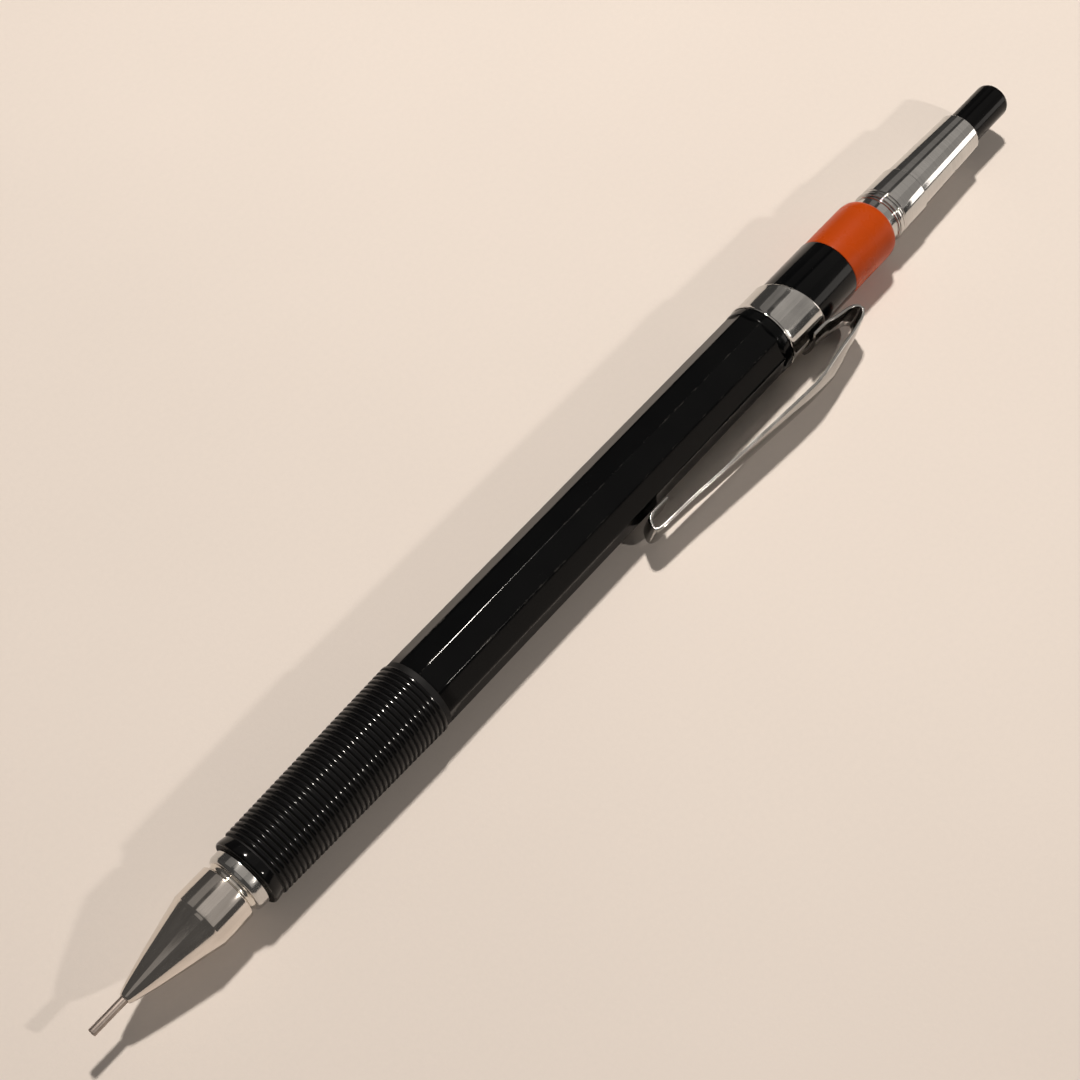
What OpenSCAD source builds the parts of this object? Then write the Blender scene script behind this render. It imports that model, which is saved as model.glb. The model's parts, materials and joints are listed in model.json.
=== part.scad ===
// Mechanical pencil, lying on a flat surface with its clip to the side.
// X runs along the pencil from the lead tip to the push button, +Z is up.
// Stations named *_u are distances from the tip of the lead sleeve.

/* [Nose] */
// Outer diameter of the lead sleeve
sleeve_d = 0.85; // [0.7:0.05:0.9]
// Length of lead sleeve that stands out of the cone
sleeve_out = 4; // [3:0.1:5]
// Length of the tapering cone
cone_l = 9.25; // [9:0.05:9.6]
// Length of the straight land behind the cone
land_l = 3.85; // [3.8:0.05:4.4]
// Diameter of the straight land
land_d = 6.3; // [6.2:0.05:6.4]
// Width of the groove behind the nose
groove_l = 0.65; // [0.4:0.05:1]
// Width of the collar ring
collar_l = 1.55; // [1.2:0.05:2]
// Diameter of the collar ring
collar_d = 6.55; // [6.4:0.05:7]

/* [Grip] */
// Length of the ribbed grip
grip_l = 24; // [18:0.6:30]
// Crest diameter at the front of the grip
grip_front_d = 7.65; // [7.4:0.05:8]
// Crest diameter at the back of the grip
grip_back_d = 8.55; // [8.4:0.05:9]
// Distance from rib to rib
rib_pitch = 0.6; // [0.5:0.1:1]
// Depth of the grooves between the ribs
rib_depth = 0.17; // [0.1:0.01:0.25]

/* [Barrel] */
// Length of the faceted part
barrel_l = 54.5; // [50:0.1:60]
// Diameter across the corners of the facets
barrel_d = 8.3; // [8:0.05:8.4]
// Number of facets
facets = 10; // [8:1:12]
// Turn of the facets about the axis, in degrees
facet_turn = 2.9; // [0:0.1:36]
// Length of the round shoulder behind the facets
shoulder_l = 1.1; // [1:0.1:3]
// Diameter of the round neck that carries the clip
neck_d = 7.8; // [7.4:0.05:7.9]
// Length of the neck
neck_l = 12.4; // [12:0.1:14]

/* [Clip] */
// Thickness of the clip's sheet
clip_t = 0.45; // [0.35:0.05:0.5]
// Width of the clip at the band
clip_w = 5.2; // [4.4:0.1:5.2]
// Width of the clip at its toe
clip_toe_w = 3.6; // [3:0.1:4]
// Angle from the top round to the middle of the clip, in degrees
clip_turn = 102; // [90:0.5:102]
// Distance from the axis to the sheet's middle where the arm bows out most
clip_bow_r = 7.9; // [7.4:0.05:8]
// Distance from the axis to the sheet's middle just before the toe
clip_toe_r = 6.35; // [6.1:0.05:6.5]
// Height of the pressed dome near the band
dome_h = 0.65; // [0.4:0.05:0.8]

/* [Rear end] */
// Length of the colour ring
ring_l = 8.2; // [7.5:0.1:9]
// Diameter of the colour ring
ring_d = 7.65; // [7.4:0.05:7.7]
// Length of the rear ferrule
ferrule_l = 6.6; // [6.6:0.1:8]
// Diameter of the rear ferrule
ferrule_d = 6.35; // [6.1:0.05:6.4]
// Length of the tapered rear sleeve
rear_l = 11.5; // [11:0.1:12.5]
// Diameter of the rear sleeve at its front
rear_front_d = 5.95; // [5.7:0.05:6]
// Diameter of the rear sleeve at its back
rear_back_d = 5.25; // [5:0.05:5.4]
// Length of push button that stands out of the sleeve
button_out = 7.4; // [6.5:0.1:8]
// Diameter of the push button
button_d = 4.2; // [4.1:0.05:4.25]

/* [Mechanism] */
// Diameter of the lead
lead_d = 0.5; // [0.5:0.01:0.52]
// Travel of the push button
press_travel = 2.5; // [2:0.1:2.6]
// Travel of the clutch ring and of the lead for each press
feed_travel = 0.6; // [0.4:0.05:0.6]
// Number of turns in the chuck spring
spring_turns = 10; // [8:1:12]
// Number of spare leads in the tube
spare_count = 3; // [1:1:4]

/* [Hidden] */
$fn = 96;

// Stations along the outside, from the tip of the lead sleeve
cone_u = sleeve_out;
land_u = cone_u + cone_l;
groove_u = land_u + land_l;
collar_u = groove_u + groove_l;
grip_u = collar_u + collar_l;
barrel_u = grip_u + grip_l;
shoulder_u = barrel_u + barrel_l;
neck_u = shoulder_u + shoulder_l;
ring_u = neck_u + neck_l;
ferrule_u = ring_u + ring_l;
rear_u = ferrule_u + ferrule_l;
button_u = rear_u + rear_l;
total_l = button_u + button_out;

// Gap between pieces that meet end to end with a little play
end_gap = 0.05;

// Stations of the lead path inside the nose
sleeve_set = 3.7;
sleeve_back_u = cone_u + sleeve_set;
retainer_u = sleeve_back_u + 3 * end_gap;
retainer_l = 1.65;
chuck_room_u = retainer_u + retainer_l + 2 * end_gap;
clutch_room_u = land_u - 0.3;
thread_l = 1.8;
bush_u = groove_u - thread_l;
housing_u = bush_u + end_gap;

// Radii of the mechanism
sleeve_bore_r = lead_d / 2 + 0.03;
sleeve_root_r = 0.5;
retainer_r = 1;
jaw_r = 1.45;
jaw_room_r = 1.55;
shank_r = 0.95;
clutch_r = 1.7;
clutch_room_r = 1.75;
thread_r = 2.22;
thread_clear = 0.03;
flange_r = 2.9;
bush_r = 2.5;
housing_r = 2;
housing_bore_r = 1.7;
spring_r = 1.32;
wire_r = 0.2;
coupler_r = 1.6;
tube_r = 1.35;
tube_bore_r = 1.05;
holder_r = 1.62;
eraser_r = 1.33;
pin_r = 0.2;
guide_r = 2.1;
spigot_r = 3.2;
ring_seat_r = 3.15;
shoulder_r = barrel_d / 2 + 0.03;

// Stations of the mechanism
jaw_front_u = clutch_room_u - 0.55;
clutch_u = clutch_room_u + end_gap + feed_travel;
clutch_l = 1.6;
cone_rate = 0.18;
jaw_flat = 0.6;
spring_seat = 3.05;
spring_u = housing_u + spring_seat;
spring_l = 10.5;
coupler_u = spring_u + spring_l;
coupler_l = 8.1;
housing_over = 4.6;
housing_end_u = coupler_u + housing_over;
lead_u = 0.12;
lead_l = 58;
spare_u = 48;
spare_l = 60;
tube_u = coupler_u + 3.6;
holder_u = ferrule_u + 0.9;
holder_l = 13.6;
tube_end_u = holder_u + 6.6;
eraser_u = tube_end_u + 0.8;
eraser_l = 12;
pin_l = 13;
pin_set = 3.2;
cap_front_u = button_u - 7.6;
cap_bore_r = holder_r + 0.03;
cap_wall = 1.1;
guide_u = ring_u + 2.2;
guide_l = 4;
spigot_end_u = ferrule_u - 0.2;
socket_u = rear_u - 3.5;

// Clip: its sheet is a path of [station, distance from the axis]
band_t = 0.3;
band_l = 4;
band_long_l = 6;
tab_r = neck_d / 2 + 0.02 + clip_t / 2;
tab_u = neck_u + 4;
bend_r = 1.25;
bend_u = neck_u + 8.9;
bend_mid_r = tab_r + bend_r;
bow_u = neck_u - 1.9;
toe_leg_r = barrel_d / 2 + 0.25;
toe_bend_r = (clip_toe_r - toe_leg_r) / 2;
toe_u = neck_u - 25.55;
toe_l = 2.9;
bow_power = 1.3;
split_gap = 0.05;
split_turn = split_gap / bend_r * 180 / PI;
dome_u = neck_u + 1.1;
dome_base_r = 2.5;
dome_sphere_r = (pow(dome_base_r, 2) + pow(dome_h, 2)) / (2 * dome_h);
path_steps = 14;

// Place of the axis: the origin is the middle of the footprint, on the surface
rib_crest = 0.3;
axis_z = grip_r(barrel_u - rib_crest / 2 * rib_pitch);
dome_out = dome_r0() + dome_h;
bow_reach = (clip_bow_r + clip_t / 2) * sin(clip_turn) - clip_w / 2 * cos(clip_turn);
dome_reach = (dome_out - dome_sphere_r) * sin(clip_turn) + dome_sphere_r;
clip_reach = max(bow_reach, dome_reach);
axis_y = (clip_reach - axis_z) / 2;

function lerp(a, b, x) = a + (b - a) * x;
function ease(x) = (1 - cos(180 * x)) / 2;
function arm_r(u) = u > bow_u
  ? lerp(clip_bow_r, bend_mid_r + bend_r, ease((u - bow_u) / (bend_u - bow_u)))
  : clip_bow_r - (clip_bow_r - clip_toe_r) * pow((bow_u - u) / (bow_u - toe_u), bow_power);
function dome_r0() = clip_bow_r - 0.05 + clip_t / 2;

// The middle line of the sheet, in two runs that meet at the back of the bend
root_path = concat(
  [[tab_u, tab_r]],
  [for (i = [0 : path_steps]) let (a = -90 + 90 * i / path_steps)
    [bend_u + bend_r * cos(a), bend_mid_r + bend_r * sin(a)]]
);
arm_path = concat(
  [for (i = [0 : path_steps]) let (a = lerp(split_turn, 90, i / path_steps))
    [bend_u + bend_r * cos(a), bend_mid_r + bend_r * sin(a)]],
  [for (i = [1 : 2 * path_steps]) let (u = lerp(bend_u, toe_u, i / (2 * path_steps)))
    [u, arm_r(u)]],
  [for (i = [1 : path_steps]) let (a = 90 + 180 * i / path_steps)
    [toe_u + toe_bend_r * cos(a), toe_leg_r + toe_bend_r + toe_bend_r * sin(a)]],
  [[toe_u + toe_l, toe_leg_r]]
);

// Direction of a path at point i, and the points of a strip t wide along it
function heading(p, i) =
  let (a = p[max(i - 1, 0)], b = p[min(i + 1, len(p) - 1)])
  (b - a) / norm(b - a);
function side(p, i, off) = p[i] + off * [-heading(p, i)[1], heading(p, i)[0]];
function strip(p, t) = concat(
  [for (i = [0 : len(p) - 1]) side(p, i, t / 2)],
  [for (i = [len(p) - 1 : -1 : 0]) side(p, i, -t / 2)]
);

// Local +Z runs along the pencil, starting at station u
module along(u) {
  translate([u - total_l / 2, axis_y, axis_z])
    rotate([0, 90, 0])
      children();
}

// A turned piece from a list of [radius, station]
module turned(points) {
  along(0)
    rotate_extrude()
      polygon(points);
}

module tube(u, l, r_out, r_in) {
  along(u)
    difference() {
      cylinder(r = r_out, h = l);
      translate([0, 0, -1])
        cylinder(r = r_in, h = l + 2);
    }
}

// Clip frame: X along the pencil, Y out from the axis, Z across the sheet
module clip_frame() {
  translate([-total_l / 2, axis_y, axis_z])
    rotate([90 + clip_turn, 0, 0])
      children();
}

module clip_strip(path) {
  linear_extrude(height = clip_w, center = true)
    polygon(strip(path, clip_t));
}

// A plan outline that narrows the sheet towards the toe
module clip_taper() {
  back_u = bend_u + bend_r + 1;
  front_u = toe_u - 2;
  rotate([-90, 0, 0])
    linear_extrude(height = 12)
      polygon([
        [front_u, -clip_toe_w / 2], [bow_u - 3, -clip_w / 2], [back_u, -clip_w / 2],
        [back_u, clip_w / 2], [bow_u - 3, clip_w / 2], [front_u, clip_toe_w / 2]
      ]);
}

// Thin tube with a thicker root that is pressed into the cone
module lead_sleeve() {
  edge = 0.08;
  color("#8b7f78")
    turned([
      [sleeve_bore_r, 0], [sleeve_d / 2 - edge, 0], [sleeve_d / 2, edge],
      [sleeve_d / 2, cone_u], [sleeve_root_r, cone_u],
      [sleeve_root_r, sleeve_back_u], [sleeve_bore_r, sleeve_back_u]
    ]);
}

// Cone with a slightly convex flank, a fine edge, and a straight land
module nose_cone() {
  tip_r = 0.6;
  end_r = 3.1;
  flank = 0.86;
  edge = 0.15;
  steps = 16;
  outside = [for (i = [0 : steps]) let (x = i / steps)
    [tip_r + (end_r - tip_r) * pow(x, flank), cone_u + cone_l * x]];
  land = [
    [land_d / 2, land_u + 0.05], [land_d / 2, groove_u - edge],
    [land_d / 2 - edge, groove_u]
  ];
  inside = [
    [thread_r + thread_clear, groove_u], [thread_r + thread_clear, bush_u - end_gap],
    [clutch_room_r, bush_u - end_gap], [clutch_room_r, clutch_room_u],
    [jaw_room_r, clutch_room_u], [jaw_room_r, chuck_room_u],
    [retainer_r, chuck_room_u], [retainer_r, sleeve_back_u],
    [sleeve_root_r, sleeve_back_u], [sleeve_root_r, cone_u]
  ];
  color("#a9a5a1")
    turned(concat(outside, land, inside));
}

module lead_retainer() {
  color("#2e2e30")
    tube(retainer_u, retainer_l, retainer_r, lead_d / 2 + 0.02);
}

module collar_ring() {
  edge = 0.25;
  r = collar_d / 2;
  color("#d9d9dc")
    turned([
      [bush_r, collar_u], [r - edge, collar_u], [r - edge / 4, collar_u + edge / 2],
      [r, collar_u + 2 * edge], [r, grip_u - edge / 2], [r - edge / 2, grip_u],
      [bush_r, grip_u]
    ]);
}

// Brass bush: the nose screws on its front, the barrel holds its back
module front_bush() {
  color("#c9a64b")
    turned([
      [housing_r, bush_u], [thread_r, bush_u], [thread_r, groove_u],
      [flange_r, groove_u], [flange_r, collar_u], [bush_r, collar_u],
      [bush_r, housing_end_u + 0.4], [housing_r, housing_end_u + 0.4]
    ]);
}

function grip_r(u) = lerp(grip_front_d, grip_back_d, (u - grip_u) / grip_l) / 2;

module grip_sleeve() {
  ribs = floor(grip_l / rib_pitch);
  outside = [for (i = [0 : ribs - 1], k = [0, rib_crest, 1 - rib_crest / 2])
    let (u = grip_u + (i + k) * rib_pitch)
      [grip_r(u) - (k == 0 ? rib_depth : 0), u]];
  color("#17171a")
    turned(concat(
      [[spigot_r, grip_u]], outside,
      [[grip_back_d / 2 - rib_depth, barrel_u], [spigot_r, barrel_u]]
    ));
}

// One long tube: spigot under the grip, facets, shoulder, neck, rear spigot
module barrel() {
  front_u = grip_u + 0.2;
  color("#101013")
    difference() {
      union() {
        turned([
          [0, front_u], [spigot_r, front_u], [spigot_r, shoulder_u], [shoulder_r, shoulder_u],
          [shoulder_r, neck_u], [neck_d / 2, neck_u], [neck_d / 2, ring_u],
          [ring_seat_r, ring_u], [ring_seat_r, spigot_end_u], [0, spigot_end_u]
        ]);
        along(barrel_u)
          rotate([0, 0, facet_turn])
            cylinder(r = barrel_d / 2, h = barrel_l, $fn = facets);
      }
      along(grip_u)
        cylinder(r = bush_r, h = spigot_end_u - grip_u + 1);
    }
}

// Band round the neck, longer on the clip's side, with the tab that bends back
module clip_band() {
  band_r = neck_d / 2 + band_t;
  slope = atan((band_long_l - band_l) / (2 * band_r));
  color("#d4d4d8") {
    difference() {
      tube(neck_u, band_long_l + 0.2, band_r, neck_d / 2);
      clip_frame()
        translate([neck_u + band_l, -band_r, 0])
          rotate([0, 0, -slope])
            translate([0, -3, -10])
              cube([20, 20, 20]);
    }
    clip_frame()
      clip_strip(root_path);
  }
}

// Long arm with a bowed middle, a pressed dome and a toe folded back inwards
module clip_arm() {
  color("#dcdce0")
    clip_frame() {
      intersection() {
        clip_strip(arm_path);
        clip_taper();
      }
      intersection() {
        translate([dome_u, dome_r0() + dome_h - dome_sphere_r, 0])
          sphere(r = dome_sphere_r);
        translate([dome_u, clip_bow_r, 0])
          rotate([-90, 0, 0])
            cylinder(r = dome_base_r, h = 3);
      }
    }
}

// Ring with a soft rear edge
module colour_ring() {
  soft_l = 1.1;
  soft_r = ring_d / 2 - ring_seat_r - 0.1;
  steps = 8;
  color("#cc4d16")
    turned(concat(
      [[ring_seat_r, ring_u], [ring_d / 2, ring_u]],
      [for (i = [0 : steps]) let (a = 90 * i / steps)
        [ring_d / 2 - soft_r + soft_r * cos(a), ferrule_u - soft_l + soft_l * sin(a)]],
      [[ring_seat_r, ferrule_u]]
    ));
}

// Ferrule with a short neck and two beads, its spigot inside the barrel
module rear_ferrule() {
  neck_r = ferrule_d / 2 - 0.18;
  bead_r = ferrule_d / 2 + 0.06;
  bead_u = ferrule_u + 1.15;
  bead_l = 0.42;
  r = ferrule_d / 2;
  color("#cfcfd3")
    turned([
      [guide_r, guide_u - 0.5], [bush_r, guide_u - 0.5], [bush_r, ferrule_u],
      [neck_r, ferrule_u], [neck_r, bead_u], [bead_r, bead_u + bead_l / 4],
      [bead_r, bead_u + bead_l], [neck_r, bead_u + 1.2 * bead_l],
      [neck_r, bead_u + 1.6 * bead_l], [bead_r, bead_u + 1.8 * bead_l],
      [bead_r, bead_u + 2.5 * bead_l], [r, bead_u + 2.8 * bead_l],
      [r, rear_u - 0.12], [r - 0.12, rear_u], [bush_r, rear_u],
      [bush_r, socket_u], [guide_r, socket_u]
    ]);
}

// Tapered chrome sleeve that guides the button
module rear_sleeve() {
  bore_r = button_d / 2 + 0.08;
  edge = 0.15;
  color("#e2e2e6")
    turned([
      [bore_r, socket_u], [bush_r, socket_u], [bush_r, rear_u],
      [rear_front_d / 2, rear_u], [rear_back_d / 2, button_u - edge],
      [rear_back_d / 2 - edge, button_u], [bore_r, button_u]
    ]);
}

module tube_guide() {
  color("#e8e4d8")
    tube(guide_u, guide_l, guide_r, tube_r + 0.07);
}

// Hollow cap with a rounded end
module push_button() {
  edge = 0.9;
  steps = 8;
  r = button_d / 2;
  color("#121215")
    turned(concat(
      [[cap_bore_r, cap_front_u], [r, cap_front_u]],
      [for (i = [0 : steps]) let (a = 90 * i / steps)
        [r - edge + edge * cos(a), total_l - edge + edge * sin(a)]],
      [[0, total_l], [0, total_l - cap_wall], [cap_bore_r, total_l - cap_wall]]
    ));
}

module eraser() {
  color("#e9e6df")
    difference() {
      along(eraser_u)
        cylinder(r = eraser_r, h = eraser_l);
      along(eraser_u - 1)
        cylinder(r = pin_r, h = pin_set + 1);
    }
}

module eraser_holder() {
  color("#c8c8cc")
    tube(holder_u, holder_l, holder_r, tube_r);
}

module cleaning_pin() {
  color("#9a9a9e")
    along(eraser_u + pin_set - pin_l)
      cylinder(r = pin_r, h = pin_l);
}

module lead_tube() {
  color("#dedbd2")
    tube(tube_u, tube_end_u - tube_u, tube_r, tube_bore_r);
}

// Brass coupler between the chuck's shank and the lead tube
module chuck_coupler() {
  end_u = coupler_u + coupler_l;
  shank_end_u = coupler_u + 2.3;
  hole_r = 0.5;
  color("#c9a64b")
    turned([
      [shank_r, coupler_u], [coupler_r, coupler_u], [coupler_r, end_u],
      [tube_r, end_u], [tube_r, tube_u], [hole_r, tube_u],
      [hole_r, shank_end_u], [shank_r, shank_end_u]
    ]);
}

// Round wire wound into an open coil
module chuck_spring() {
  sides = 6;
  per_turn = 16;
  rings = spring_turns * per_turn;
  rise = (spring_l - 0.2 - 2 * wire_r) / rings;
  points = [for (i = [0 : rings], j = [0 : sides - 1])
    let (a = 360 * i / per_turn, b = 360 * j / sides, r = spring_r + wire_r * cos(b))
      [r * cos(a), r * sin(a), 0.1 + wire_r + rise * i + wire_r * sin(b)]];
  walls = [for (i = [0 : rings - 1], j = [0 : sides - 1])
    let (k = (j + 1) % sides, a = i * sides, b = a + sides)
      [a + j, b + j, b + k, a + k]];
  front = [for (j = [0 : sides - 1]) j];
  back = [for (j = [sides - 1 : -1 : 0]) rings * sides + j];
  color("#b9b9bf")
    along(spring_u)
      polyhedron(points, concat(walls, [front, back]), convexity = 10);
}

// Brass collet: conical jaws split by three slots, and a long shank
module chuck() {
  slot_w = 0.3;
  slot_l = 9.6;
  jaw_l = 2.8;
  jaw_hole_l = 4.1;
  shank_end_u = coupler_u + 2.1;
  hole_r = 0.45;
  nip_r = lead_d / 2 + 0.03;
  color("#b8923a")
    difference() {
      turned([
        [nip_r, jaw_front_u], [jaw_r - 0.25, jaw_front_u], [jaw_r, jaw_front_u + 0.2],
        [jaw_r, jaw_front_u + jaw_flat],
        [jaw_r - cone_rate * (jaw_l - jaw_flat), jaw_front_u + jaw_l],
        [shank_r, jaw_front_u + jaw_l + 0.1], [shank_r, shank_end_u],
        [hole_r, shank_end_u], [hole_r, jaw_front_u + jaw_hole_l],
        [nip_r, jaw_front_u + jaw_hole_l]
      ]);
      for (turn = [0 : 120 : 240])
        along(jaw_front_u - 1)
          rotate([0, 0, turn])
            translate([0, -slot_w / 2, 0])
              cube([jaw_r + 1, slot_w, slot_l + 1]);
    }
}

// Ring that closes the jaws: its cone runs just clear of theirs
module clutch_ring() {
  clear = 0.03;
  front_r = jaw_r - cone_rate * (clutch_u - jaw_front_u - jaw_flat) + clear;
  color("#d8b95a")
    turned([
      [front_r, clutch_u], [clutch_r, clutch_u], [clutch_r, clutch_u + clutch_l],
      [front_r - cone_rate * clutch_l, clutch_u + clutch_l]
    ]);
}

// Tube that stops the clutch ring and holds the spring's front end
module chuck_housing() {
  lip_r = shank_r + 0.17;
  color("#bdbdc2")
    turned([
      [lip_r, housing_u], [housing_r, housing_u], [housing_r, housing_end_u],
      [housing_bore_r, housing_end_u], [housing_bore_r, spring_u - end_gap],
      [lip_r, spring_u - end_gap]
    ]);
}

module lead() {
  color("#3a3a3f")
    along(lead_u)
      cylinder(r = lead_d / 2, h = lead_l);
}

module spare_leads() {
  ring_r = 0.68;
  color("#3a3a3f")
    for (i = [0 : spare_count - 1])
      along(spare_u)
        rotate([0, 0, 360 * i / spare_count])
          translate([ring_r, 0, 0])
            cylinder(r = lead_d / 2, h = spare_l);
}

lead_sleeve();
nose_cone();
lead_retainer();
collar_ring();
front_bush();
grip_sleeve();
barrel();
clip_band();
clip_arm();
colour_ring();
rear_ferrule();
rear_sleeve();
tube_guide();
push_button();
eraser();
eraser_holder();
cleaning_pin();
lead_tube();
chuck_coupler();
chuck_spring();
chuck();
clutch_ring();
chuck_housing();
lead();
spare_leads();
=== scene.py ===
"""Looks of a mechanical pencil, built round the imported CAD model.

In the makers every station u, radius r and size is in millimetres.
Lamps, floor and camera are in metres.
"""

import json
import math

import bmesh
import bpy
from mathutils import Matrix, Vector


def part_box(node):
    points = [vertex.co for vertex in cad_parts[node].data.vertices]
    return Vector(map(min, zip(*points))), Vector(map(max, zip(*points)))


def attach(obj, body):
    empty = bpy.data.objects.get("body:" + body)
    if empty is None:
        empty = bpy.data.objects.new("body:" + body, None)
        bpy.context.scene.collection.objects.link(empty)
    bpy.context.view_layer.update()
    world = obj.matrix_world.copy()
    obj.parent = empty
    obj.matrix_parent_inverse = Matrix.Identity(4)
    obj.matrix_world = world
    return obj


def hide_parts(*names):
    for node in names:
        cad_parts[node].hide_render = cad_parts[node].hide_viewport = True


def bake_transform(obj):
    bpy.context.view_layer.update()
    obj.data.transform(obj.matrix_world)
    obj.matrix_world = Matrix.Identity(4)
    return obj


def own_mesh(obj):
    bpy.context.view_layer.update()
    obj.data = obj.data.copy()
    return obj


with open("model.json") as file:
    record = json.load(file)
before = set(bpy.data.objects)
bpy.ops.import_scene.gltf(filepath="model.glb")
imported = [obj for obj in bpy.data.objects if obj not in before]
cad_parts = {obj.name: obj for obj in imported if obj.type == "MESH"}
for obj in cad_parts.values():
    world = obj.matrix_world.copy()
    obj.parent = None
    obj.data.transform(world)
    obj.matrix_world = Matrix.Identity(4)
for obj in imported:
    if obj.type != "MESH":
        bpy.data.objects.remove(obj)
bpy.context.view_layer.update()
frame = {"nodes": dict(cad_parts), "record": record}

MM = 0.001
ROUND = 160  # points round a turned piece
SHARP = math.radians(32)  # an edge that turns more than this stays sharp
MERGE_DISTANCE = 1e-7  # metres


# ---- places, all from the frame ----

def middle(node, axis):
    low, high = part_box(node)
    return (low[axis] + high[axis]) / 2


FRONT_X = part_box("lead_sleeve")[0].x
AXIS_Y = middle("lead_sleeve", 1)
AXIS_Z = middle("lead_sleeve", 2)
CLIP_ANGLE = math.radians(102)  # from the top of the pencil to the middle of the clip


def span(node):
    """First and last station of a node, from the tip of the lead sleeve."""
    low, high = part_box(node)
    return (low.x - FRONT_X) / MM, (high.x - FRONT_X) / MM


def radius(node):
    low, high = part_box(node)
    return (high.z - low.z) / 2 / MM


def place(u, r, angle):
    """Point at station u and distance r from the axis; angle runs from the top towards the clip."""
    return (
        FRONT_X + u * MM,
        AXIS_Y - r * MM * math.sin(angle),
        AXIS_Z + r * MM * math.cos(angle),
    )


def clip_place(u, r, w):
    """Point in the clip's own frame: r out from the axis, w across the sheet, upwards."""
    s, c = math.sin(CLIP_ANGLE), math.cos(CLIP_ANGLE)
    return (
        FRONT_X + u * MM,
        AXIS_Y - (r * s - w * c) * MM,
        AXIS_Z + (r * c + w * s) * MM,
    )


def lerp(a, b, x):
    return a + (b - a) * x


def ease(x):
    x = min(1, max(0, x))
    return x * x * (3 - 2 * x)


# ---- meshes ----

def mesh_piece(name, rows, loop_rows=False, edge_mask=None):
    """A piece from rows of points, each row closed on itself, with one edge mask value for each
    point.

    Ends are capped unless the rows make a loop.
    """
    count = len(rows[0])
    verts = [p for row in rows for p in row]
    faces = []
    for i in range(len(rows) if loop_rows else len(rows) - 1):
        a, b = i * count, (i + 1) % len(rows) * count
        for j in range(count):
            k = (j + 1) % count
            faces.append((a + j, b + j, b + k, a + k))
    if not loop_rows:
        faces.append(tuple(range(count)))
        faces.append(tuple(range(len(verts) - 1, len(verts) - 1 - count, -1)))
    mesh = bpy.data.meshes.new(name)
    mesh.from_pydata(verts, [], faces)
    if edge_mask is not None:
        layer = mesh.attributes.new("edge_mask", "FLOAT", "POINT")
        layer.data.foreach_set("value", edge_mask)
    work = bmesh.new()
    work.from_mesh(mesh)
    bmesh.ops.remove_doubles(work, verts=work.verts, dist=MERGE_DISTANCE)
    bmesh.ops.recalc_face_normals(work, faces=work.faces)
    work.to_mesh(mesh)
    work.free()
    mesh.shade_smooth()
    mesh.set_sharp_from_angle(angle=SHARP)
    piece = bpy.data.objects.new(name, mesh)
    bpy.context.scene.collection.objects.link(piece)
    return piece


def rounded(points, steps=5, most=0.48):
    """Closed outline of (u, r) or (u, r, rounding) with its marked corners rounded.

    A rounding takes at most a share of the sides it joins, so that two of them never meet.
    """
    out = []
    for i, point in enumerate(points):
        here = Vector(point[:2])
        if len(point) < 3:
            out.append(tuple(here))
            continue
        before = Vector(points[i - 1][:2]) - here
        after = Vector(points[(i + 1) % len(points)][:2]) - here
        reach = min(point[2], before.length * most, after.length * most)
        a, b = before.normalized() * reach, after.normalized() * reach
        for k in range(steps + 1):
            t = k / steps
            out.append(tuple(here + a * (1 - t) ** 2 + b * t * t))
    return out


def circles(outline, count):
    """One row of points round the axis for each (u, r)."""
    return [
        [place(u, max(r, 0), 2 * math.pi * j / count) for j in range(count)]
        for u, r in outline
    ]


def turned(name, points, count=ROUND):
    """A turned piece from its closed half outline."""
    return mesh_piece(name, circles(rounded(points), count), loop_rows=True)


def dress(piece, body, slot, *nodes, look=None):
    """Give a piece its look, chosen by slot, and its body, and let it stand for the CAD nodes.

    Without a body it is left unattached.
    """
    piece.data.materials.append(look or LOOKS[slot])
    if body:
        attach(piece, body)
    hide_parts(*nodes)


# ---- materials ----

RANGE_KEYS = ("From Min", "From Max", "To Min", "To Max")


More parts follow.
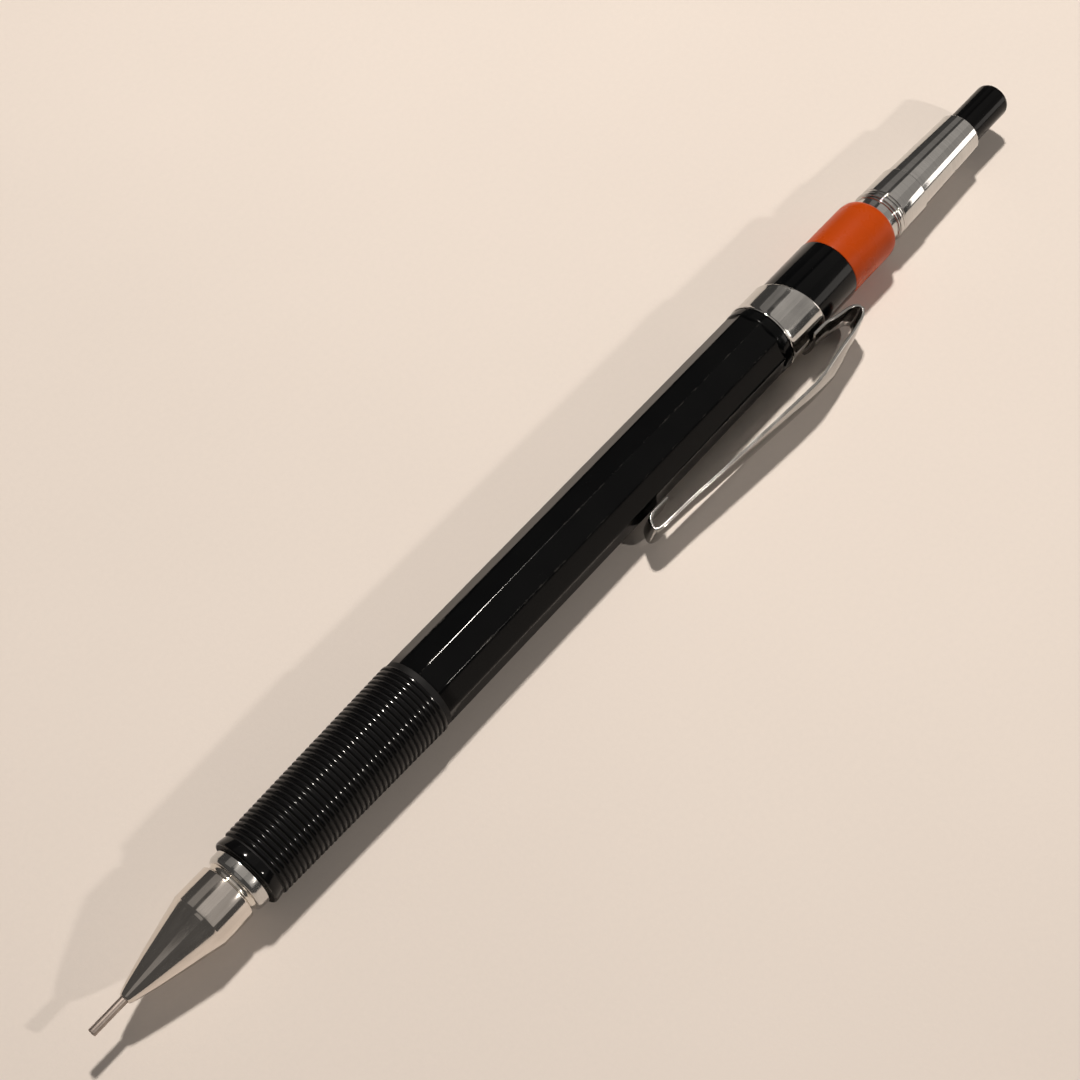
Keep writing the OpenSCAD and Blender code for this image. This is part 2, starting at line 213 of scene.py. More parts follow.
class Nodes:
    """Short way to add and join shader nodes of one material."""

    def __init__(self, name):
        self.material = bpy.data.materials.new(name)
        self.material.use_nodes = True
        self.tree = self.material.node_tree
        self.shader = self.tree.nodes["Principled BSDF"]
        self.coords = self.add("ShaderNodeTexCoord").outputs["Object"]

    def add(self, kind, **inputs):
        node = self.tree.nodes.new(kind)
        for key, value in inputs.items():
            self.put(node, key.replace("_", " "), value)
        return node

    def put(self, node, key, value):
        socket = node.inputs[key]
        if isinstance(value, bpy.types.NodeSocket):
            self.tree.links.new(value, socket)
        else:
            socket.default_value = value

    def set(self, **inputs):
        for key, value in inputs.items():
            self.put(self.shader, key.replace("_", " "), value)

    def noise(self, scale, stretch=(1, 1, 1), detail=3.0, rough=0.55):
        """Noise whose scale counts cells per metre, drawn out where stretch is small."""
        spread = self.add("ShaderNodeMapping", Vector=self.coords, Scale=stretch)
        node = self.add(
            "ShaderNodeTexNoise",
            Vector=spread.outputs[0], Scale=scale, Detail=detail, Roughness=rough,
        )
        return node.outputs["Fac"]

    def ramp(self, value, low, high, to_low=0, to_high=1):
        node = self.add("ShaderNodeMapRange", Value=value)
        for key, number in zip(RANGE_KEYS, (low, high, to_low, to_high)):
            self.put(node, key, number)
        return node.outputs[0]

    def math(self, kind, a, b):
        node = self.add("ShaderNodeMath")
        node.operation = kind
        self.put(node, 0, a)
        self.put(node, 1, b)
        return node.outputs[0]

    def plus(self, a, b):
        return self.math("ADD", a, b)

    def times(self, a, b):
        return self.math("MULTIPLY", a, b)

    def mix(self, amount, a, b):
        """Mix of two colours."""
        node = self.add("ShaderNodeMix")
        node.data_type = "RGBA"
        factor_socket, a_socket, b_socket = 0, 6, 7
        for index, value in ((factor_socket, amount), (a_socket, a), (b_socket, b)):
            self.put(node, index, value)
        return node.outputs[2]

    def attribute(self, name):
        node = self.add("ShaderNodeAttribute")
        node.attribute_name = name
        return node.outputs["Fac"]

    def bump(self, height, distance, strength=1.0):
        node = self.add("ShaderNodeBump", Height=height, Distance=distance, Strength=strength)
        self.put(self.shader, "Normal", node.outputs[0])


def rgb(r, g, b):
    return (r, g, b, 1)


# Scale of noise along and across the pencil; a small number draws it out
TURNING = (60, 1, 1)
ALONG = (1, 30, 30)
BRUSHED = (1, 12, 12)
SCRATCHED = (1, 9, 3)
EDGE_PATCH_SPREAD = (0.35, 1, 1)

# Noise cells per metre
SMUDGES = 260
SCRATCHES = 900
TONES = 180
SPECKS = 5200
EDGE_PATCHES = 1500
PEEL = 900
GRAIN = 2600
WORN_SPOTS = 320
FIBRES = 1400
CLOUDS = 9

# Pale edge colour: partly wear, partly a painted highlight along the barrel's edges
PALE_EDGE = rgb(0.30, 0.28, 0.25)


def metal(
    name, light, dark, rough, marks=TURNING, mark_scale=90, mark_depth=2e-6, smudge=0.1, cut=0.0
):
    """Metal with machining marks, fine scratches and smudges that dull it.

    With cut its cut edges are duller than its faces.
    """
    n = Nodes(name)
    patches = n.noise(SMUDGES, detail=4)
    lines = n.noise(mark_scale, marks, detail=6, rough=0.7)
    scratches = n.noise(SCRATCHES, SCRATCHED, detail=2)
    tone = n.ramp(n.plus(n.times(lines, 0.6), n.times(patches, 0.4)), 0.32, 0.66)
    dull = n.ramp(patches, 0.42, 0.75, rough, rough + smudge)
    thin = n.ramp(scratches, 0.66, 0.7, 0, smudge)
    gloss = n.plus(dull, thin)
    if cut:
        gloss = n.plus(gloss, n.times(n.attribute("edge_mask"), cut))
    n.set(Base_Color=n.mix(tone, dark, light), Metallic=1.0, Roughness=gloss)
    n.bump(lines, mark_depth)
    return n.material


def plastic(name, colour, second, rough, peel=1.5e-6, edge_wear_and_highlight=0.0, specular=0.5, valley=0.0):
    """Moulded plastic with faint tone changes, a slightly wavy skin and dust specks.

    Marked edges can get pale patches, wear and painted highlight; grooves can be duller than
    crests.
    """
    n = Nodes(name)
    patches = n.noise(TONES, detail=4)
    specks = n.ramp(n.noise(SPECKS, detail=1), 0.74, 0.8)
    colour_out = n.mix(n.ramp(patches, 0.35, 0.7), colour, second)
    gloss = n.plus(n.ramp(patches, 0.35, 0.75, rough, rough * 1.9), n.times(specks, 0.3))
    # Pale patches on marked edges: wear, and a painted highlight for the light lines along them
    if edge_wear_and_highlight:
        broken = n.ramp(n.noise(EDGE_PATCHES, EDGE_PATCH_SPREAD, detail=6, rough=0.75), 0.52, 0.66)
        pale_edge = n.times(n.times(n.attribute("edge_mask"), broken), edge_wear_and_highlight)
        colour_out = n.mix(pale_edge, colour_out, PALE_EDGE)
        gloss = n.plus(gloss, n.times(pale_edge, 0.3))
    if valley:
        gloss = n.plus(gloss, n.ramp(n.attribute("edge_mask"), 0.86, 0.99, valley, 0))
    n.set(Base_Color=colour_out, Roughness=gloss, Specular_IOR_Level=specular)
    n.bump(n.noise(PEEL, detail=2), peel)
    return n.material


def soft(name, colour, second, rough, depth=6e-6):
    """Matt piece with a fine grain."""
    n = Nodes(name)
    fine = n.noise(GRAIN, detail=5)
    n.set(
        Base_Color=n.mix(n.ramp(fine, 0.3, 0.7), colour, second),
        Roughness=n.ramp(n.noise(WORN_SPOTS), 0.3, 0.7, rough - 0.07, rough + 0.07),
    )
    n.bump(fine, depth)
    return n.material


def paper():
    """Pale warm floor with a faint grain."""
    n = Nodes("paper")
    fibres = n.noise(FIBRES, detail=7, rough=0.7)
    clouds = n.noise(CLOUDS, detail=3)
    tone = n.ramp(n.plus(n.times(fibres, 0.35), n.times(clouds, 0.65)), 0.36, 0.64)
    n.set(
        Base_Color=n.mix(tone, rgb(0.72, 0.652, 0.595), rgb(0.77, 0.697, 0.636)),
        Roughness=n.ramp(fibres, 0.3, 0.7, 0.62, 0.8),
    )
    n.bump(fibres, 2.2e-5, 0.7)
    return n.material


LOOKS = {
    "sleeve_steel": metal("sleeve_steel", rgb(0.42, 0.36, 0.32), rgb(0.29, 0.245, 0.22), 0.36),
    "satin_chrome": metal(
        "satin_chrome", rgb(0.80, 0.75, 0.70), rgb(0.66, 0.61, 0.56), 0.09,
        ALONG, 60, 1.2e-6, smudge=0.06,
    ),
    "chrome": metal(
        "chrome", rgb(0.62, 0.612, 0.595), rgb(0.50, 0.492, 0.478), 0.07,
        mark_depth=4e-7, smudge=0.08,
    ),
    "clip_chrome": metal(
        "clip_chrome", rgb(0.62, 0.61, 0.59), rgb(0.48, 0.47, 0.455), 0.08,
        BRUSHED, 120, 1.2e-6, smudge=0.08,
    ),
    "nickel": metal("nickel", rgb(0.78, 0.74, 0.68), rgb(0.62, 0.58, 0.52), 0.1, mark_depth=6e-7),
    "brass": metal("brass", rgb(0.80, 0.60, 0.27), rgb(0.60, 0.41, 0.16), 0.2),
    "thin_steel": metal(
        "thin_steel", rgb(0.66, 0.66, 0.67), rgb(0.46, 0.46, 0.48), 0.25, ALONG, 80
    ),
    "spring_steel": metal("spring_steel", rgb(0.60, 0.60, 0.62), rgb(0.38, 0.38, 0.41), 0.24),
    # black_gloss paints pale edges: wear and a painted highlight along the barrel's edges
    "black_gloss": plastic(
        "black_gloss", rgb(0.0012, 0.0014, 0.0017), rgb(0.0024, 0.0026, 0.0028), 0.08,
        edge_wear_and_highlight=0.3, specular=0.12,
    ),
    "black_ribbed": plastic(
        "black_ribbed", rgb(0.0014, 0.0015, 0.0018), rgb(0.0026, 0.0026, 0.0028), 0.08,
        specular=0.2, valley=0.5,
    ),
    "button_black": plastic(
        "button_black", rgb(0.0018, 0.0018, 0.002), rgb(0.0032, 0.0032, 0.0032), 0.12,
        specular=0.12,
    ),
    "orange_gloss": plastic(
        "orange_gloss", rgb(0.455, 0.055, 0.003), rgb(0.415, 0.049, 0.0025), 0.22,
        peel=2.5e-6, specular=0.12,
    ),
    "nylon": plastic("nylon", rgb(0.74, 0.71, 0.62), rgb(0.68, 0.64, 0.55), 0.35),
    "dark_rubber": soft("dark_rubber", rgb(0.022, 0.022, 0.024), rgb(0.04, 0.04, 0.042), 0.75),
    "eraser_white": soft("eraser_white", rgb(0.80, 0.78, 0.73), rgb(0.70, 0.68, 0.63), 0.85),
    "graphite": soft(
        "graphite", rgb(0.045, 0.045, 0.05), rgb(0.09, 0.09, 0.097), 0.42, depth=3e-6
    ),
}
# Two pieces look a little different from the rest of their slot
# The clip sheet's look is a darker copy of clip_chrome: painted shade on its reflections
ARM_SHADED_LOOK = metal(
    "clip_chrome_painted_shade", rgb(0.44, 0.432, 0.42), rgb(0.32, 0.313, 0.30), 0.09,
    BRUSHED, 120, 1.2e-6, smudge=0.08, cut=0.05,
)
COLLAR_LOOK = metal(
    "chrome_collar", rgb(0.64, 0.63, 0.61), rgb(0.52, 0.51, 0.49), 0.1, mark_depth=6e-7
)

for part in frame["record"]["subparts"]:
    node = frame["nodes"][part["node"]]
    node.data.materials.clear()
    node.data.materials.append(LOOKS[part["material_slot"]])


# ---- nose ----

def make_sleeve():
    """Thin drawn tube with a thicker root in the cone."""
    start, end = span("lead_sleeve")
    root_r = radius("lead_sleeve")
    cone_u = span("nose_cone")[0]
    outer_r, bore_r, sides = 0.425, 0.28, 64
    piece = turned("lead_sleeve_tube", [
        (start, bore_r, 0.04), (start, outer_r, 0.07), (cone_u, outer_r), (cone_u, root_r),
        (end, root_r, 0.05), (end, bore_r),
    ], sides)
    dress(piece, "nose", "sleeve_steel", "lead_sleeve")


def make_nose():
    """Slightly bulging cone, a fine step and a straight land, hollow for thread and jaws."""
    start, end = span("nose_cone")
    land_r = radius("nose_cone")
    cone_l, tip_r, foot_r, flank, steps = 9.25, 0.6, land_r - 0.05, 0.86, 28
    land_u = start + cone_l
    thread_r, jaw_r, seat_r, retainer_r, sleeve_r = 2.25, 1.75, 1.55, 1.0, 0.5
    thread_u, shelf_u, seat_u, retainer_u = end - 1.85, land_u - 0.3, start + 5.6, start + 3.7
    chamfer = 0.12
    outline = [(start, sleeve_r), (start, tip_r, 0.05)]
    outline += [
        (start + cone_l * i / steps, tip_r + (foot_r - tip_r) * (i / steps) ** flank)
        for i in range(1, steps + 1)
    ]
    outline += [
        (land_u + 0.04, land_r - 0.015), (land_u + 0.08, land_r), (end, land_r, 0.16),
        (end, thread_r + chamfer), (end - chamfer, thread_r), (thread_u, thread_r),
        (thread_u, jaw_r), (shelf_u, jaw_r), (shelf_u, seat_r), (seat_u, seat_r),
        (seat_u, retainer_r), (retainer_u, retainer_r), (retainer_u, sleeve_r),
    ]
    dress(turned("nose_cone_turned", outline), "nose", "satin_chrome", "nose_cone")


def make_bush():
    """Nickel-plated bush: screw thread, waisted flange, plain back that holds the mechanism."""
    start, end = span("front_bush")
    collar_u = span("collar_ring")[0]
    groove_u = span("nose_cone")[1]
    flange_r = radius("front_bush")
    bore_r, thread_r, back_r = 2.0, 2.22, 2.5
    pitch, depth, count, rows_per_pitch, run_out_rows = 0.4, 0.13, 96, 8, 4
    waist, waist_steps, waist_form, waist_gap = 0.16, 8, 0.7, 0.02
    rows = []
    steps = round((groove_u - start) / pitch * rows_per_pitch)
    for i in range(steps + 1):
        u = lerp(start, groove_u, i / steps)
        fade = min(1, i / run_out_rows, (steps - i) / run_out_rows)
        row = []
        for j in range(count):
            turn = j / count
            wave = abs(((u / pitch - turn) % 1) * 2 - 1)
            row.append(place(u, thread_r - depth * (1 - ease(wave)) * fade, 2 * math.pi * turn))
        rows.append(row)
    tail = [(groove_u + 0.01, flange_r)]
    for i in range(waist_steps + 1):
        x = i / waist_steps
        drop = waist * math.sin(math.pi * x) ** waist_form
        tail.append((lerp(groove_u + waist_gap, collar_u - waist_gap, x), flange_r - drop))
    tail += [
        (collar_u, flange_r), (collar_u, back_r), (end, back_r), (end, bore_r), (start, bore_r)
    ]
    rows += circles(tail, count)
    piece = mesh_piece("front_bush_threaded", rows, loop_rows=True)
    dress(piece, "barrel", "nickel", "front_bush")


def make_collar():
    """Ring with a rounded front and a small step at its back."""
    start, end = span("collar_ring")
    r = radius("collar_ring")
    inner_r, step = 2.5, 0.06
    piece = turned("collar_ring_turned", [
        (start, inner_r), (start, r - 0.32, 0.05), (start + 0.1, r - 0.14, 0.08),
        (start + 0.42, r, 0.16), (end - 0.3, r, 0.08), (end - 0.16, r - step, 0.05),
        (end, r - step, 0.05), (end, inner_r),
    ])
    dress(piece, "barrel", "chrome", "collar_ring", look=COLLAR_LOOK)


# ---- grip and barrel ----

# One rib of the grip as shares of its pitch and of its depth, from crest to crest
RIB = [
    (0.0, 1.0), (0.09, 0.98), (0.17, 0.72), (0.26, 0.2), (0.36, 0.02), (0.5, 0.0),
    (0.64, 0.0), (0.76, 0.06), (0.86, 0.34), (0.94, 0.82),
]
# Smooth ring before the ribs: station from the grip's front, drop from its front radius
GRIP_RING = [(0, 0.12), (0.05, 0.05), (0.14, 0.01), (0.3, 0), (0.42, 0.01), (0.94, 0.083)]


def make_grip():
    """Smooth ring and turned ribs with rounded crests on a slightly widening sleeve."""
    start, end = span("grip_sleeve")
    pitch, depth, front_r, back_r, inner_r, count = 0.6, 0.17, 3.825, 4.275, 3.2, 168
    ribs, ring_ribs = int((end - start) / pitch + 1e-6), 2
    ring_end = start + ring_ribs * pitch - 0.12
    outline = [(start, inner_r)]
    outline += [(start + u, front_r - drop) for u, drop in GRIP_RING]
    outline += [(ring_end, front_r - 0.13)]
    edge_mask = [0.0] + [1.0] * (len(outline) - 1)
    for i in range(ring_ribs, ribs):
        for k, drop in RIB:
            u = start + (i + k) * pitch
            outline.append((u, lerp(front_r, back_r, (u - start) / (end - start)) - depth * drop))
            edge_mask.append(1 - drop)
    outline += [(end, back_r - depth), (end, inner_r)]
    edge_mask += [0.0, 0.0]
    point_wear = [w for w in edge_mask for _ in range(count)]
    piece = mesh_piece("grip_sleeve_ribbed", circles(outline, count), True, point_wear)
    dress(piece, "barrel", "black_ribbed", "grip_sleeve")


def make_barrel():
    """Ten flats whose fine rounded edges run out in scallops on a round shoulder, and a neck."""
    start, end = span("barrel")
    grip_end = span("grip_sleeve")[1]
    neck_u = span("clip_band")[0]
    ring_u = span("colour_ring")[0]
    shoulder_u = neck_u - 1.1
    facets, corner_r, first_corner = 10, 4.15, math.radians(2.9)
    neck_r, shoulder_r, seat_r, spigot_r, bore_r = 3.9, 4.18, 3.15, 3.2, 2.5
    # Points on a rounded edge and on a flat, rows along the flats and along the shoulder
    edge_points, flat_points, flat_rows, shoulder_rows = 6, 9, 39, 26
    # Half the angle of a rounded edge, at the grip and from edge_l behind it on
    front_half, back_half, edge_l = 0.045, 0.026, 30
    # Pale edge colour, wear and painted highlight, falls off to a least value, least at the
    # shoulder
    edge_mark_l, least_edge_mark, shoulder_edge_mark = 22, 0.3, 0.1
    bevel_l = 0.14
    step = 2 * math.pi / facets
    apothem = corner_r * math.cos(step / 2)
    rows, edge_mask = [], []

    def ring(u, radius_at, pale_edge=0.0):
        """One row of points; radius_at gives the distance from the axis for the faceted one."""
        half = lerp(front_half, back_half, ease((u - grip_end) / edge_l))
        tangent_r = apothem / math.cos(step / 2 - half)
        peak_r = tangent_r * (math.cos(half) + math.sin(half) * math.tan(step / 4))
        row = []
        for k in range(facets):
            corner = first_corner + k * step
            for i in range(edge_points):
                x = i / edge_points * 2 - 1
                row.append(place(u, radius_at(lerp(peak_r, tangent_r, x * x)), corner + half * x))
                # Edge points get the pale edge colour: wear and painted highlight
                edge_mask.append((1 - x * x) * pale_edge)
            for i in range(flat_points):
                turn = lerp(half, step - half, i / flat_points)
                row.append(place(u, radius_at(apothem / math.cos(turn - step / 2)), corner + turn))
                edge_mask.append(0.0)
        rows.append(row)

    def plain(*stations):
        """Round rows at these (u, r)."""
        for u, r in stations:
            ring(u, lambda _: r)

    plain((start, bore_r), (start, spigot_r - 0.1), (start + 0.15, spigot_r), (grip_end, spigot_r))
    ring(grip_end, lambda r: r - 0.14)
    ring(grip_end + 0.04, lambda r: r - 0.06, 1)
    ring(grip_end + bevel_l, lambda r: r, 1)
    for i in range(1, flat_rows + 1):
        u = lerp(grip_end + bevel_l, shoulder_u - 0.5, i / flat_rows)
        ring(u, lambda r: r, max(least_edge_mark, 1 - (u - grip_end) / edge_mark_l))
    for i in range(shoulder_rows + 1):
        x = i / shoulder_rows
        rise = lerp(apothem - 0.07, shoulder_r, math.sin(math.pi / 2 * x))
        u = lerp(shoulder_u - 0.42, shoulder_u + 0.06, x)
        ring(u, lambda r: max(r, rise), shoulder_edge_mark)
    plain(
        (neck_u - 0.2, shoulder_r), (neck_u - 0.06, shoulder_r - 0.03),
        (neck_u, shoulder_r - 0.12), (neck_u, neck_r),
        (ring_u - 0.22, neck_r), (ring_u - 0.08, neck_r - 0.04),
        (ring_u, neck_r - 0.14), (ring_u, seat_r),
        (end, seat_r), (end, bore_r),
    )
    piece = mesh_piece("barrel_faceted", rows, True, edge_mask)
    dress(piece, "barrel", "black_gloss", "barrel")


# ---- clip ----

def make_band():
    """Stamped band: flared front rim, slanted back edge that is longest on the clip's side."""
    start = span("clip_band")[0]
    inner_r, short_l, long_l, back_edge = 3.9, 4.0, 6.0, -1e-4
    # Station from the front edge or, where it is negative, from the slanted back edge; radius
    profile = [
        (0.0, inner_r), (0.0, 4.22), (0.02, 4.25), (0.07, 4.268), (0.14, 4.262), (0.22, 4.235),
        (0.34, 4.2), (0.6, 4.185), (2.0, 4.18), (-0.75, 4.18), (-0.42, 4.175), (-0.26, 4.19),
        (-0.12, 4.2), (-0.04, 4.18), (back_edge, 4.14), (back_edge, inner_r),
    ]
    rows = []
    for u, r in profile:
        row = []
        for j in range(ROUND):
            angle = 2 * math.pi * j / ROUND
            back = lerp(short_l, long_l, 0.5 + 0.5 * math.cos(angle - CLIP_ANGLE))
            row.append(place(start + (u if u >= 0 else back + u), r, angle))
        rows.append(row)
    piece = mesh_piece("clip_band_stamped", rows, loop_rows=True)
    dress(piece, "barrel", "clip_chrome", "clip_band")


# Middle of the clip's sheet from the band to the end of its toe: station behind the band's
# front edge, distance from the axis, half width, crown (+ is up from the tab)
CLIP_LINE = [
    # tab
    (3.3, 4.10, 2.25, 0.50), (5.45, 4.16, 2.22, 0.46), (6.4, 4.42, 2.20, 0.38),
    (7.6, 4.68, 2.18, 0.28), (8.6, 4.84, 2.16, 0.20),
    # bend
    (9.35, 5.10, 2.14, 0.12), (9.78, 5.46, 2.12, 0.05), (9.9, 5.84, 2.12, -0.02),
    (9.7, 6.24, 2.13, -0.08), (9.1, 6.53, 2.15, -0.14),
    # arm
    (8.4, 6.71, 2.18, -0.20), (6.6, 7.01, 2.26, -0.40), (4.9, 7.19, 2.36, -0.62),
    (3.6, 7.34, 2.46, -0.80), (1.8, 7.58, 2.56, -0.86), (0.4, 7.81, 2.60, -0.66),
    (-1.2, 7.91, 2.60, -0.54), (-2.6, 7.88, 2.60, -0.50), (-5.0, 7.76, 2.58, -0.44),
    (-7.4, 7.61, 2.53, -0.38), (-10.9, 7.38, 2.40, -0.30), (-13.5, 7.19, 2.28, -0.24),
    (-16.2, 7.00, 2.18, -0.20), (-18.6, 6.81, 2.06, -0.17), (-20.0, 6.68, 1.99, -0.15),
    (-22.2, 6.54, 1.90, -0.13), (-24.4, 6.43, 1.82, -0.11),
    # toe
    (-25.7, 6.35, 1.77, -0.10), (-26.35, 6.15, 1.72, -0.08), (-26.5, 5.80, 1.66, -0.05),
    (-26.3, 5.40, 1.62, -0.03), (-25.95, 4.96, 1.60, 0.0), (-25.4, 4.66, 1.58, 0.0),
    (-24.3, 4.58, 1.56, 0.0), (-22.8, 4.60, 1.50, 0.0),
]


def smooth_line(points, steps):
    """Catmull-Rom curve through the points, each a tuple of any length."""
    def between(p, q, r, w, t):
        return 0.5 * (
            2 * q + (r - p) * t + (2 * p - 5 * q + 4 * r - w) * t * t
            + (3 * q - p - 3 * r + w) * t ** 3
        )

    out = []
    for i in range(len(points) - 1):
        near = [points[min(max(k, 0), len(points) - 1)] for k in (i - 1, i, i + 1, i + 2)]
        for s in range(steps):
            out.append(tuple(between(*values, s / steps) for values in zip(*near)))
    out.append(points[-1])
    return out


def sheet_section(half_w, half_t, edge, across=18):
    """Outline of a flat sheet cut across, with rounded edges: (place across, height)."""
    flat, side, quarter = half_w - edge, half_t - edge, math.pi / 2

    def arc(w, height, *angles):
        return [(w + edge * math.sin(q), height + edge * math.cos(q)) for q in angles]

    return (
        [(flat * (2 * j / across - 1), half_t) for j in range(across + 1)]
        + arc(flat, side, 0.5, 1.05, quarter)
        + arc(flat, -side, quarter, 2.1, 2.65)
        + [(flat * (1 - 2 * j / across), -half_t) for j in range(across + 1)]
        + arc(-flat, -side, -2.65, -2.1, -quarter)
        + arc(-flat, side, -quarter, -1.05, -0.5)
    )


def make_clip():
    """One stamped sheet: tab on the neck, tight bend, crowned arm, toe folded back under it."""
    start = span("clip_band")[0]
    half_t, edge, steps, tolerance = 0.17, 0.1, 7, 1e-6
    line = smooth_line(CLIP_LINE, steps)
    rows, cut_edge = [], []
    for i, (u, r, half_w, crown) in enumerate(line):
        a, b = line[max(i - 1, 0)], line[min(i + 1, len(line) - 1)]
        heading = Vector((b[0] - a[0], b[1] - a[1])).normalized()
        row = []
        for w, height in sheet_section(half_w, half_t, edge):
            cut_edge.append(1.0 if abs(w) > half_w - edge + tolerance else 0.0)
            height += crown * (1 - (w / half_w) ** 2)
            row.append(clip_place(start + u - heading.y * height, r + heading.x * height, w))
        rows.append(row)
    piece = mesh_piece("clip_sheet", rows, edge_mask=cut_edge)
    # The sheet gets the darker copy of clip_chrome, painted shade
    dress(piece, None, "clip_chrome", "clip_arm", "clip_band", look=ARM_SHADED_LOOK)
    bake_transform(piece)


# ---- rear end ----

def make_ring():
    """Straight ring with a rounded back."""
    start, end = span("colour_ring")
    r = radius("colour_ring")
    seat_r = 3.15
    piece = turned("colour_ring_moulded", [
        (start, seat_r), (start, r, 0.1), (end - 1.25, r, 0.3), (end - 0.45, r - 0.16, 0.3),
        (end, r - 0.62, 0.2), (end, seat_r),
    ])
    dress(piece, "barrel", "orange_gloss", "colour_ring")


def make_ferrule():
    """Ferrule with a ridge between two low lands and fine grooves."""
    start, end = span("rear_ferrule")
    ring_end = span("colour_ring")[1]
    r, neck_r, ridge_r, inner_r, bore_r = 3.175, 2.96, 3.235, 2.5, 2.1
    land_r, groove_r, last_r, seat_l = 3.14, neck_r + 0.04, neck_r + 0.06, 3.5
    bead = ring_end + 1.15
    piece = turned("rear_ferrule_turned", [
        (start, bore_r), (start, inner_r), (ring_end - 0.02, inner_r), (ring_end - 0.02, neck_r),
        (bead, neck_r, 0.04), (bead + 0.03, land_r, 0.05), (bead + 0.17, land_r, 0.05),
        (bead + 0.21, groove_r, 0.03), (bead + 0.31, groove_r, 0.03), (bead + 0.36, ridge_r, 0.12),
        (bead + 0.84, ridge_r, 0.12), (bead + 0.89, groove_r, 0.03), (bead + 0.98, groove_r, 0.03),
        (bead + 1.02, land_r, 0.05), (bead + 1.18, land_r, 0.05), (bead + 1.22, last_r, 0.04),
        (bead + 1.34, last_r, 0.04), (bead + 1.42, r, 0.06), (end, r, 0.12), (end, inner_r),
        (end - seat_l, inner_r), (end - seat_l, bore_r),
    ])
    dress(piece, "barrel", "chrome", "rear_ferrule")


def make_rear_sleeve():
    """Tapered sleeve whose front end sits in the ferrule."""
    start, end = span("rear_sleeve")
    step_u = span("rear_ferrule")[1]
    front_r, back_r, inner_r, bore_r = 2.975, 2.625, 2.5, 2.18
    piece = turned("rear_sleeve_tapered", [
        (start, bore_r), (start, inner_r), (step_u, inner_r), (step_u, front_r, 0.03),
        (end - 0.14, back_r, 0.05), (end, back_r - 0.13, 0.07), (end, bore_r, 0.06),
    ])
    dress(piece, "barrel", "chrome", "rear_sleeve")


def make_button():
    """Hollow button with a domed end."""
    start, end = span("push_button")
    r = radius("push_button")
    bore_r, wall = 1.65, 1.1
    piece = turned("push_button_moulded", [
        (start, bore_r), (start, r, 0.12), (end - 0.75, r, 0.1), (end - 0.42, r - 0.1, 0.28),
        (end - 0.06, r - 0.52, 0.32), (end, 0.9, 0.3), (end, 0),
        (end - wall, 0), (end - wall, bore_r, 0.3),
    ])
    dress(piece, "cap", "button_black", "push_button")


def make_spring():
    """Smooth coil of round wire."""
    start, end = span("chuck_spring")
    coil_r, wire_r, turns, per_turn, sides = 1.32, 0.2, 10, 36, 10
    first, last = start + wire_r, end - wire_r
    total = turns * per_turn
    rows = []
    for i in range(total + 1):
        angle = 2 * math.pi * i / per_turn
        u = lerp(first, last, i / total)
        rows.append([
            place(u + wire_r * math.sin(b), coil_r + wire_r * math.cos(b), angle)
            for b in (2 * math.pi * j / sides for j in range(sides))
        ])
    piece = mesh_piece("chuck_spring_coil", rows)
    dress(piece, "barrel", "spring_steel", "chuck_spring")
    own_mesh(piece)


for make in (
    make_sleeve, make_nose, make_bush, make_collar, make_grip, make_barrel, make_band, make_clip,
    make_ring, make_ferrule, make_rear_sleeve, make_button, make_spring,
):
    make()


# ---- floor, lights, camera ----

FLOOR_SIZE = 4
bpy.ops.mesh.primitive_plane_add(size=FLOOR_SIZE)
floor = bpy.context.object
floor.name = "floor"
floor.data.materials.append(paper())

WARM = (1.0, 0.93, 0.86)


def lamp(name, spot, size, power, aim=(0, 0, 0)):
    """Area light; size is (along X, across) for a card or one number for a small square lamp."""
    light = bpy.data.lights.new(name, "AREA")
    light.energy = power
    light.color = WARM
    if isinstance(size, tuple):
        light.shape = "RECTANGLE"
        light.size, light.size_y = size
    else:
        light.size = size
    holder = bpy.data.objects.new(name, light)
    bpy.context.scene.collection.objects.link(holder)
    back = (Vector(spot) - Vector(aim)).normalized()
    across = back.cross(Vector((1, 0, 0))).normalized()
    along = across.cross(back)
    holder.matrix_world = (
        Matrix.Translation(spot) @ Matrix((along, across, back)).transposed().to_4x4()
    )
    return holder


def card(name, tilt, size, radiance, x, distance=0.7):
    """Soft card above the pencil that shows only in reflections.

    tilt is its angle in degrees from straight up towards the clip.
    """
    t = math.radians(tilt)
    spot = (x, -distance * math.sin(t), distance * math.cos(t))
    power = radiance * math.pi * size[0] * size[1]
    lamp(name, spot, size, power, aim=(x, 0, 0)).visible_diffuse = False


# The two lamps that cast the photo's two shadows
lamp("key", (0.16, 0.139, 0.48), 0.035, 2.5)
lamp("second", (0.32, -0.87, 0.62), 0.042, 3.3)

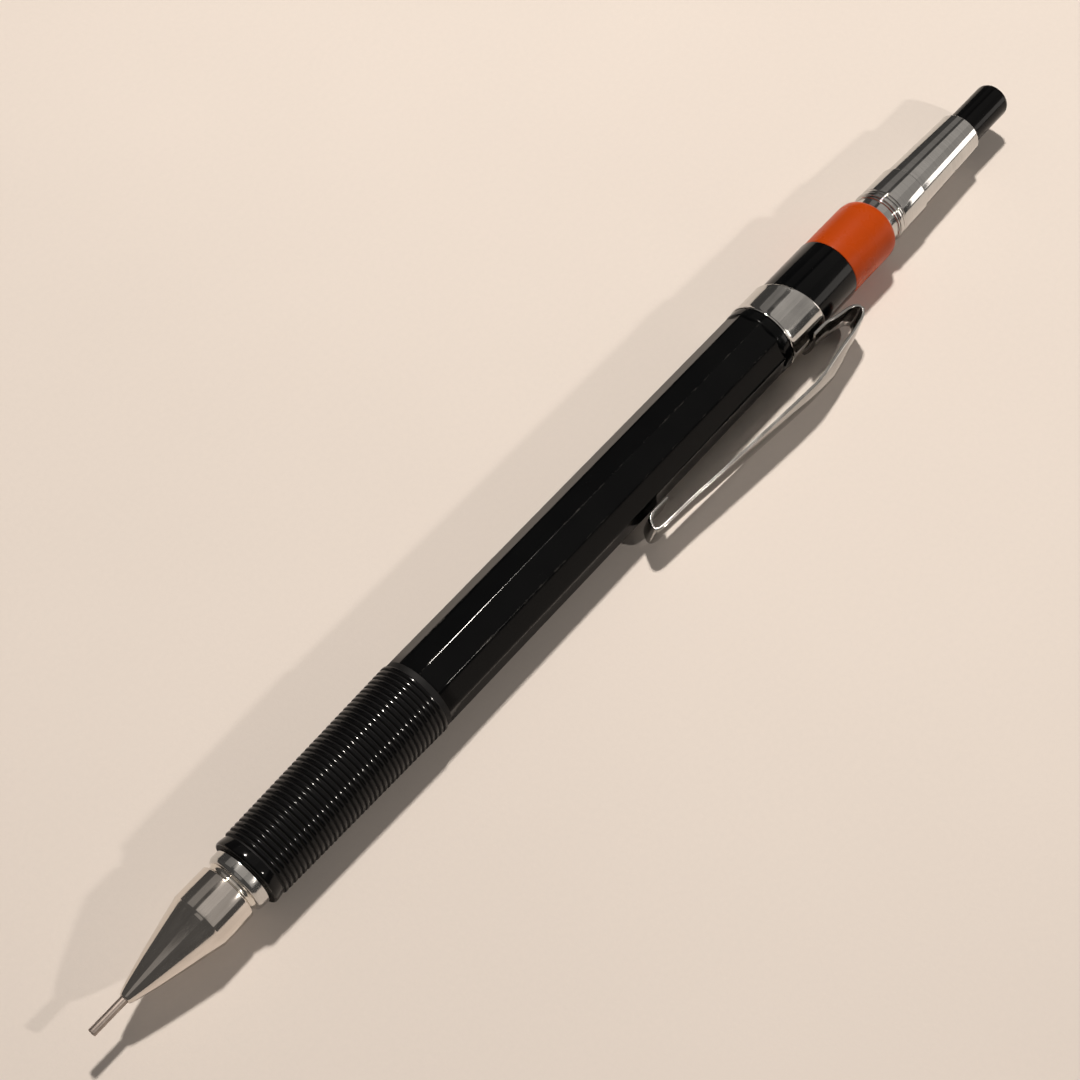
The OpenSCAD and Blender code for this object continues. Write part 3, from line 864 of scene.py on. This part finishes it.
CARD_L, CARD_X = 1.44, 0.53
card("card_far", -40, (CARD_L, 0.34), 0.15, CARD_X)
card("card_top", 6, (CARD_L, 0.5), 0.40, CARD_X)
card("card_near", 47, (CARD_L, 0.54), 0.30, CARD_X)
card("card_nose", 8, (0.4, 0.42), 0.17, -0.5)
card_low = lamp("card_low", (0.63, -0.52, 0.16), (0.26, 0.26), 0.55, aim=(0.05, 0, 0))
card_low.visible_diffuse = False


def room():
    """Dim surroundings, a little brighter on the tip's side."""
    world = bpy.data.worlds.new("world")
    world.use_nodes = True
    tree = world.node_tree
    background = tree.nodes["Background"]
    toward = tree.nodes.new("ShaderNodeTexCoord").outputs["Generated"]
    parts = tree.nodes.new("ShaderNodeSeparateXYZ")
    tree.links.new(toward, parts.inputs[0])
    level = tree.nodes.new("ShaderNodeMapRange")
    # X of the direction, from and to; strength there
    for key, number in zip(RANGE_KEYS, (-0.7, 0.35, 0.085, 0.07)):
        level.inputs[key].default_value = number
    tree.links.new(parts.outputs["X"], level.inputs["Value"])
    background.inputs["Color"].default_value = rgb(1.0, 0.95, 0.9)
    tree.links.new(level.outputs[0], background.inputs["Strength"])
    bpy.context.scene.world = world


room()
bpy.context.scene.view_settings.view_transform = "Standard"

YAW, PITCH, ROLL = (math.radians(a) for a in (50.25608, 57.87883, -0.2465))
EYE = Vector((FRONT_X - 0.0183, AXIS_Y - 0.0664, 0.175))
forward = Vector((
    math.sin(YAW) * math.cos(PITCH), math.cos(YAW) * math.cos(PITCH), -math.sin(PITCH)
))
right_level = Vector((math.cos(YAW), -math.sin(YAW), 0))
up_level = right_level.cross(forward)
right = right_level * math.cos(ROLL) + up_level * math.sin(ROLL)
up = up_level * math.cos(ROLL) - right_level * math.sin(ROLL)
camera = bpy.data.objects.new("camera", bpy.data.cameras.new("camera"))
bpy.context.scene.collection.objects.link(camera)
camera.data.lens = 66.667
camera.data.sensor_width = 36
camera.data.clip_start = 0.005
camera.matrix_world = (
    Matrix.Translation(EYE) @ Matrix((right, up, -forward)).transposed().to_4x4()
)
bpy.context.scene.camera = camera
